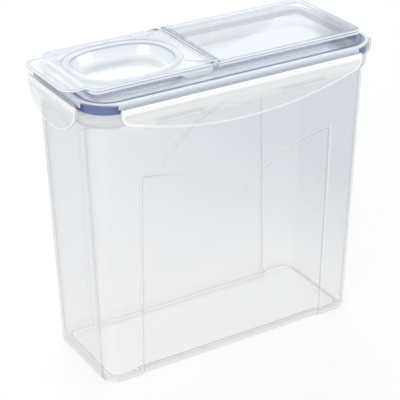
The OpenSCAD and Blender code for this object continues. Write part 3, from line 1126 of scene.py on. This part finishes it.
@dataclass
class Cover(TopShape):
    """The fixed clear cover over the lid's deck."""

    left_x: float = -13.7
    left_gap: float = 0.4
    # Faint painted shade along the skirt.
    skirt_line: float = 0.1

    def dress(self, middle_x: float) -> list[Piece]:
        """Builds plate and skirt and gives them their finish."""
        side = self.half_y
        corners = mirrored([(self.half_x, side, self.corner), (self.left_x, side, self.sharp)])
        path = open_path(corners, 2.0, (self.left_x, -side), self.left_gap)
        surface = Surface().loft(self.plate(corners, 3.0))
        surface.join(self.skirt(path, np.full(len(path), self.skirt_z), self.skirt_line))
        piece = build(surface, "clear_cover", middle_x, TOP_PLASTIC.material())
        return [mounted(piece, "root", "lid_cover")]


@dataclass
class Flap(TopShape):
    """The flip-up pouring flap: plate with its finger tab, oval plug, skirt, knuckle and pins."""

    hinge_x: float = -16.0
    knuckle_r: float = 1.5
    knuckle_half: float = 37.1
    pin_r: float = 0.8
    end_round: float = 0.25
    # Painted shade on the knuckle and pins.
    rod_line: float = 0.2
    stub_gap: float = 0.05
    pin_gap: float = 0.3
    tab_x: float = -128.5
    tab_half: float = 33.5
    tab_r: float = 10.0
    shoulder_r: float = 6.4
    hinge_corner: float = 0.6
    plug_depth: float = 9.6
    plug_taper: float = 3.0
    plug_t: float = 1.4
    border_w: float = 5.8
    border_d: float = 0.5
    cheek_l: float = 28.0
    cheek_h: float = 3.2
    cheek_run: float = 6.0
    cheek_gap: float = 1.0
    cheek_slant: float = 1.5
    # Faint painted shade along the skirt.
    skirt_line: float = 0.12

    def plate_and_plug(self) -> Array:
        """Rings from the plug's floor over its rim and the plate's edge to the plug's bottom."""
        end, side, tab = -self.half_x, self.half_y, self.tab_half
        corners = [(self.hinge_x, side, self.hinge_corner), (end, side, self.shoulder_r)]
        corners += [(end, tab, self.sharp), (self.tab_x, tab, self.tab_r)]
        outside = self.plate(mirrored(corners), 2.0)
        oval = OVAL.facing(outside[-1])
        top, taper = self.top_z, self.plug_taper
        border = top - self.border_d
        hollow = top - self.plug_depth
        # Line values paint the dish's floor and wall pale, a line of shade at its lip, and light
        # shade on the border.
        dish = [
            (-taper - 9.0, hollow, -0.15, 0.0),
            (-taper - 5.0, hollow, -0.3, 0.0),
            (-taper, hollow, -0.8, 3.0),
            (-0.4, border - 1.4, -0.6, 0.0),
            (0.0, border, 0.6, 0.3),
            (0.9, border, 0.2, 0.0),
            (self.border_w - 0.5, border, 0.25, 0.5),
            (self.border_w, top, -0.1, 0.5),
            (self.border_w + 0.8, top, 0.0, 0.0),
        ]
        plug = [
            (self.plug_t, top - self.plate_t, 0.0, 0.6),
            (self.plug_t - taper, hollow - self.plug_t, 0.03, 2.0),
            (-taper - 9.0, hollow - self.plug_t, 0.0, 0.0),
        ]
        upper = softened(drawn(oval, dish) + [(outside[-1], 0.0)], steps=5)
        lower = softened([(outside[0], 0.0)] + drawn(oval, plug), steps=5)
        return np.concatenate([upper, np.stack(outside[::-1])[1:-1], lower])

    def wall(self) -> Surface:
        """The skirt, whose lower edge drops to a cheek beside the hinge."""
        hinge, side = self.hinge_x, self.half_y
        corners = mirrored([(hinge, side, self.sharp), (-self.half_x, side, self.corner)])
        path = open_path(corners, 1.5, (hinge, side), self.cheek_gap)
        from_hinge = hinge - path[:, 0]
        share = np.clip((self.cheek_l - from_hinge) / self.cheek_run, 0.0, 1.0)
        slant = np.clip((from_hinge - self.cheek_gap) / self.cheek_slant, 0.0, 1.0)
        low = self.skirt_z - self.cheek_h * share * share * (3 - 2 * share) * slant
        return self.skirt(path, low, self.skirt_line)

    def rod(self, radius: float, start: float, stop: float) -> Surface:
        """A round bar along the hinge axis, between two places along Y, its ends rounded."""
        turn = np.linspace(0.0, 2 * pi, 33)[:-1]
        circle = np.stack([np.cos(turn), np.sin(turn)], -1)
        middle = np.array([self.hinge_x, self.top_z - self.knuckle_r])
        small, rings = self.end_round, []
        for y, less in ((start, small), (start + small, 0.0), (stop - small, 0.0), (stop, small)):
            x, z = (middle + (radius - less) * circle).T
            rings.append(lift(np.stack([x, np.full_like(x, y)], -1), z, self.rod_line))
        return Surface().loft(rings)

    def seal(self) -> Surface:
        """The ring of soft rubber around the plug, with two lips."""
        section = [
            (1.5, 228.25, 0.0, 0.3),
            (2.9, 228.25, 0.0, 0.5),
            (3.1, 229.0, 0.0, 0.5),
            (2.6, 230.0, 0.0, 0.5),
            (3.1, 231.0, 0.0, 0.5),
            (2.9, 231.75, 0.0, 0.5),
            (1.5, 231.75, 0.0, 0.3),
        ]
        oval = partial(OVAL.ring, np.linspace(0.0, 2 * pi, 121)[:-1])
        return Surface().loft(softened(drawn(oval, section), closed=True), closed=True)

    def dress(self, middle_x: float) -> list[Piece]:
        """Builds the flap and its seal and gives them their finishes."""
        surface = Surface().loft(self.plate_and_plug()).join(self.wall())
        side, skirt_in = self.half_y, self.half_y - self.edge_t
        for radius, start, stop in (
            (self.knuckle_r, -self.knuckle_half, self.knuckle_half),
            (self.knuckle_r, skirt_in, side - self.stub_gap),
            (self.knuckle_r, -side + self.stub_gap, -skirt_in),
            (self.pin_r, -side + self.pin_gap, side - self.pin_gap),
        ):
            surface.join(self.rod(radius, start, stop))
        flap = build(surface, "pouring_flap", middle_x, FLAP_PLASTIC.material())
        seal = build(self.seal(), "plug_seal", middle_x, SEAL_SILICONE.material())
        return [
            mounted(flap, "flap", "flip_flap"),
            mounted(seal, "flap", "flap_seal"),
        ]


# --- Latches ---


class Side(Enum):
    """The sides that carry a latch, each by its turn from the front about the vertical axis."""

    FRONT = 0.0
    REAR = pi
    LEFT = -pi / 2
    RIGHT = pi / 2


# The shoulder's section: distance out from the resting face, height and line value of each point.
# The line values paint a dark line of shade along the shoulder's top and a bright highlight down
# its rounded face.
SHOULDER = np.array(
    [
        (0.8, 223.12, 0.1), (1.4, 223.12, 0.2), (1.6, 222.9, 0.6), (2.1, 222.77, 0.0),
        (2.3, 222.7, -0.7), (2.6, 222.4, -0.8), (2.75, 222.25, -0.9), (2.97, 221.6, -0.9),
        (2.95, 220.8, -0.9), (2.7, 219.6, -0.7), (2.35, 218.3, -0.1), (2.05, 217.0, 0.12),
        (1.9, 215.6, 0.0), (0.45, 215.6, 0.0), (0.4, 218.0, 0.0), (0.4, 220.4, 0.0),
        (0.55, 221.3, 0.0), (0.8, 221.9, 0.0),
    ]
)  # fmt: skip


@dataclass(frozen=True)
class LatchShape:
    """One kind of latch. Out is measured from the core rectangle's side at off."""

    half: float
    drop: float
    sweep: float
    bars: tuple[Pair, ...]
    off: float
    corner: float = 8.0
    pivot_r: float = 25.5
    pivot_z: float = 223.0
    plate_top: float = 1.4
    plate_in: float = 0.4
    plate_t: float = 1.5
    bead_h: float = 0.9
    end_draw: float = 0.25
    hook_z: Pair = (205.5, 208.5)
    hook_r: float = 21.7
    hook_slant: Pair = (1.6, 1.2)
    web_out: Pair = (-1.3, 0.75)
    web_half_t: float = 0.15
    # Painted shade on the hinge web.
    web_line: float = 0.3
    web_short: float = 4.0

    def outline(self, inset: float) -> Array:
        """The latch's outline in X and Z, drawn in by an inset at its ends and lower edge.

        The lower edge is an arc of the sweep radius, joined by round corners to upright ends.

        Args:
            inset: how far ends and lower edge are drawn in.

        Returns:
            An array of points by 2, anticlockwise seen from the front.
        """
        top = self.pivot_z - self.plate_top
        centre_z = self.pivot_z - self.drop + self.sweep
        corner_x = self.half - self.corner
        corner_z = centre_z - sqrt((self.sweep - self.corner) ** 2 - corner_x**2)
        lean = np.arctan2(corner_x, centre_z - corner_z)
        small, large = self.corner - inset, self.sweep - inset
        swept = lean * np.linspace(-1.0, 1.0, 61)
        bottom = np.stack([large * np.sin(swept), centre_z - large * np.cos(swept)], -1)
        turn = np.linspace(-pi / 2 + lean, 0.0, 11)[1:]
        right = np.stack([corner_x + small * np.cos(turn), corner_z + small * np.sin(turn)], -1)
        side_x = self.half - inset
        rise = np.linspace(corner_z, top, 7)[1:]
        up = np.stack([np.full_like(rise, side_x), rise], -1)
        x = np.linspace(side_x, -side_x, 24)[1:-1]
        upper = np.stack([x, np.full_like(x, top)], -1)
        down, left = (up * (-1, 1))[::-1], (right * (-1, 1))[::-1]
        return np.concatenate([bottom, right, up, upper, down, left])

    def plate(self) -> Array:
        """Rings from the plate's back face over its edge and bead to its front face."""
        back, front = self.plate_in, self.plate_in + self.plate_t
        bead = front + self.bead_h
        # Each row: inset, distance out from the resting face, line value.
        # The line values paint a highlight along the bead and faint shade on the plate's edge.
        steps = [
            (0.6, back, 0.0),
            (0.15, back + 0.1, 0.05),
            (0.0, back + 0.5, 0.1),
            (0.0, bead - 0.8, 0.2),
            (0.12, bead - 0.35, -0.1),
            (0.45, bead - 0.06, -0.6),
            (0.95, bead, -0.6),
            (1.5, bead - 0.1, -0.5),
            (2.0, bead - 0.45, 0.0),
            (2.45, front + 0.12, 0.15),
            (2.9, front, 0.0),
            (3.6, front, 0.0),
        ]
        rings = []
        for inset, out, line in steps:
            x, z = self.outline(inset).T
            y = np.full_like(x, -(self.off + self.pivot_r + out))
            rings.append(lift(np.stack([x, y], -1), z, line))
        return np.stack(rings)

    def shoulder(self) -> Array:
        """Rings along X of the rounded shoulder and its lip, drawn in a little at both ends."""
        section, line = SHOULDER[:, :2], SHOULDER[:, 2]
        middle = section.mean(0)
        rings = []
        for x, size in ((1.0, 0.8), (0.9985, 0.93), (0.994, 1.0)):
            scale = np.array([size, 1.0 - (1.0 - size) * self.end_draw])
            out, z = (middle + (section - middle) * scale).T
            rings.append(across(x * self.half, self.off + self.pivot_r + out, z, line))
        return doubled(rings)

    def hook(self, start: float, stop: float) -> Array:
        """Rings along X of a locking bar: a wedge with a slanted lower face."""
        low, high = self.hook_z
        tip = self.off + self.hook_r
        root = self.off + self.pivot_r + self.plate_in + 0.3
        out, up = self.hook_slant
        top = [(tip, high), (root, high), (root, low)]
        section = np.array(top + [(tip + out, low), (tip, low + up)])
        middle = section.mean(0)
        rings = []
        for x, size in ((start, 0.85), (start + 0.3, 1.0), (stop - 0.3, 1.0), (stop, 0.85)):
            rings.append(across(x, *(middle + (section - middle) * size).T))
        return np.stack(rings)

    def surface(self, side: Side) -> Surface:
        """The whole latch, turned to its side."""
        made = Surface().loft(self.plate()).loft(self.shoulder())
        for start, stop in self.bars:
            made.loft(self.hook(start, stop))
        return made.turned(side.value)

    def web(self, side: Side) -> Surface:
        """The thin flexible strip between rail and latch: a flat band with rounded long edges."""
        half = self.half - self.web_short
        inner, outer = self.web_out
        out = np.linspace(inner, outer, 12)
        share = (2 * out - (inner + outer)) / (outer - inner)
        thick = self.web_half_t * np.sqrt(np.clip(1.0 - share**8, 0.02, 1.0))
        z = np.concatenate([self.pivot_z + thick, self.pivot_z - thick[::-1]])
        out = self.off + self.pivot_r + np.concatenate([out, out[::-1]])
        rings = [across(x, out, z, self.web_line) for x in np.linspace(-half, half, 9)]
        return Surface().loft(rings).turned(side.value)

    def hinge(self, side: Side, middle_x: float, out: float) -> tuple[float, ...]:
        """A point a distance out from the hinge axis, in the frame, in metres."""
        outwards = np.array([sin(side.value), -cos(side.value), 0.0])
        axis = outwards * (self.off + self.pivot_r) + np.array([middle_x, 0.0, self.pivot_z])
        return tuple((axis + outwards * out) * MM)


LONG_LATCH = LatchShape(98.5, 27.6, 300.0, ((-70.0, -32.0), (32.0, 70.0)), CORE.half_y)
SHORT_LATCH = LatchShape(36.0, 26.7, 46.0, ((-20.0, 20.0),), CORE.half_x)
SHAPES = {
    Side.FRONT: LONG_LATCH,
    Side.REAR: LONG_LATCH,
    Side.LEFT: SHORT_LATCH,
    Side.RIGHT: SHORT_LATCH,
}


@dataclass
class Latches:
    """The four latches and their hinge webs; bend gives two distances from the hinge axis, at which
    points on each web are worked out and left unused.
    """

    bend: Pair = (-1.0, 0.6)

    def dress(self, middle_x: float) -> list[Piece]:
        """Builds each latch and its web and gives them their finishes."""
        plastic = LATCH_PLASTIC.material()
        made = []
        for side, shape in SHAPES.items():
            word = side.name.lower()
            body = f"{word}_latch"
            latch = build(shape.surface(side), f"{word}_latch_plate", middle_x, plastic)
            made.append(mounted(latch, body, body))
            web = build(shape.web(side), f"{word}_web_strip", middle_x, plastic)
            start, end = (shape.hinge(side, middle_x, out) for out in self.bend)
            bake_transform(web)
            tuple(start)
            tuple(end)
            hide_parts(f"{word}_hinge_web")
            made.append(web)
        return made


# --- Studio ---


@dataclass
class Studio:
    """Floor, lamps, world and camera."""

    focal_px: float = 1430.96
    image_px: float = 400.0
    sensor: float = 36.0
    azimuth: float = -31.13
    elevation: float = 27.12
    roll: float = -0.36
    eye: tuple[float, float, float] = (-501.36, -822.88, 599.37)
    floor_half: float = 4.0
    floor_z: float = -0.0002
    floor_colour: Colour = (0.99, 0.99, 0.985)
    floor_shade: float = 0.985
    floor_cloud: float = 3.0
    floor_roughness: float = 0.32
    floor_glow: float = 0.6
    sky_colour: Colour = (0.96, 0.98, 1.0)
    sky_strength: float = 0.72
    white: Colour = (1.0, 1.0, 1.0)

    def camera(self, middle_x: float) -> None:
        """Sets the camera from its place, its two angles and its roll about the line of sight."""
        a, e, r = radians(self.azimuth), radians(self.elevation), radians(self.roll)
        back = Vector((sin(a) * cos(e), -cos(a) * cos(e), sin(e)))
        right = (-back).cross(Vector((0, 0, 1))).normalized()
        up = right.cross(-back)
        sideways = right * cos(r) + up * sin(r)
        upright = up * cos(r) - right * sin(r)
        view = Matrix((sideways, upright, back)).transposed().to_4x4()
        view.translation = Vector((self.eye[0] + middle_x, self.eye[1], self.eye[2])) * MM
        data = bpy.data.cameras.new("product_camera")
        data.sensor_fit = "HORIZONTAL"
        data.sensor_width = self.sensor
        data.lens = self.focal_px * self.sensor / self.image_px
        data.clip_start = 0.05
        camera = linked("product_camera", data)
        camera.matrix_world = view
        bpy.context.scene.camera = camera

    def floor(self) -> None:
        """A plain pale floor that keeps the object's shadow and a faint reflection."""
        half = self.floor_half
        corners = [(-half, -half, 0), (half, -half, 0), (half, half, 0), (-half, half, 0)]
        mesh = bpy.data.meshes.new("floor")
        mesh.from_pydata(corners, [], [(0, 1, 2, 3)])
        floor = linked("floor", mesh)
        floor.location.z = self.floor_z
        made = bpy.data.materials.new("pale_floor")
        nodes = Nodes(made)
        shade = tuple(c * self.floor_shade for c in self.floor_colour)
        colour = nodes.blend(self.floor_colour, shade, nodes.noise(self.floor_cloud))
        look = {"Base Color": colour, "Roughness": self.floor_roughness}
        solid = nodes.add("ShaderNodeBsdfPrincipled", look)
        glow = nodes.add("ShaderNodeEmission", {"Color": self.white})
        share = nodes.math("MULTIPLY", nodes.looked_at(), self.floor_glow)
        nodes.show(nodes.mixed(share, solid, glow))
        mesh.materials.append(made)

    def world(self) -> None:
        """An even soft sky that lights the object, seen as white."""
        world = bpy.data.worlds.new("studio")
        bpy.context.scene.world = world
        nodes = Nodes(world, "ShaderNodeOutputWorld")
        kind, strength = "ShaderNodeBackground", self.sky_strength
        light = nodes.add(kind, {"Color": self.sky_colour, "Strength": strength})
        seen = nodes.add(kind, {"Color": self.white, "Strength": 1.0})
        nodes.show(nodes.mixed(nodes.looked_at(), light, seen))

    def lamp(self, name: str, place: tuple, target: tuple, size: float, power: float) -> None:
        """A square soft lamp that points at a place.

        Args:
            name: the lamp's name.
            place: where it stands, in metres.
            target: what it points at, in metres.
            size: its side, in metres.
            power: its power in watts.
        """
        data = bpy.data.lights.new(name, "AREA")
        data.size = size
        data.energy = power
        aim = (Vector(target) - Vector(place)).to_track_quat("-Z", "Y")
        turned = aim.to_matrix().to_4x4()
        linked(name, data).matrix_world = Matrix.Translation(Vector(place)) @ turned

    def set_up(self, middle_x: float) -> None:
        """Makes everything around the object."""
        bpy.context.scene.view_settings.view_transform = "Standard"
        self.camera(middle_x)
        self.floor()
        self.world()
        self.lamp("key_lamp", (-1.0, -0.8, 1.2), (0.0, 0.0, 0.12), 1.3, 7.0)
        self.lamp("rear_lamp", (0.4, 1.2, 1.2), (0.0, 0.0, 0.15), 1.2, 5.5)
        self.lamp("side_lamp", (1.1, -0.7, 0.6), (0.0, 0.0, 0.12), 1.0, 3.5)


def main() -> None:
    """Builds the object's sub-assemblies in order and dresses them."""
    logging.basicConfig(level=logging.INFO, format="%(name)s: %(message)s")
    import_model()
    low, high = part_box("container_body")
    middle_x = (low[0] + high[0]) / 2 / MM
    Studio().set_up(middle_x)
    pieces: list[Piece] = []
    for part in (Container(), LidFrame(), Gasket(), Cover(), Flap(), Latches()):
        pieces += part.dress(middle_x)
    for piece in pieces:
        LOG.info("%s: %d faces", piece.name, len(piece.data.polygons))


if __name__ == "__main__":
    main()
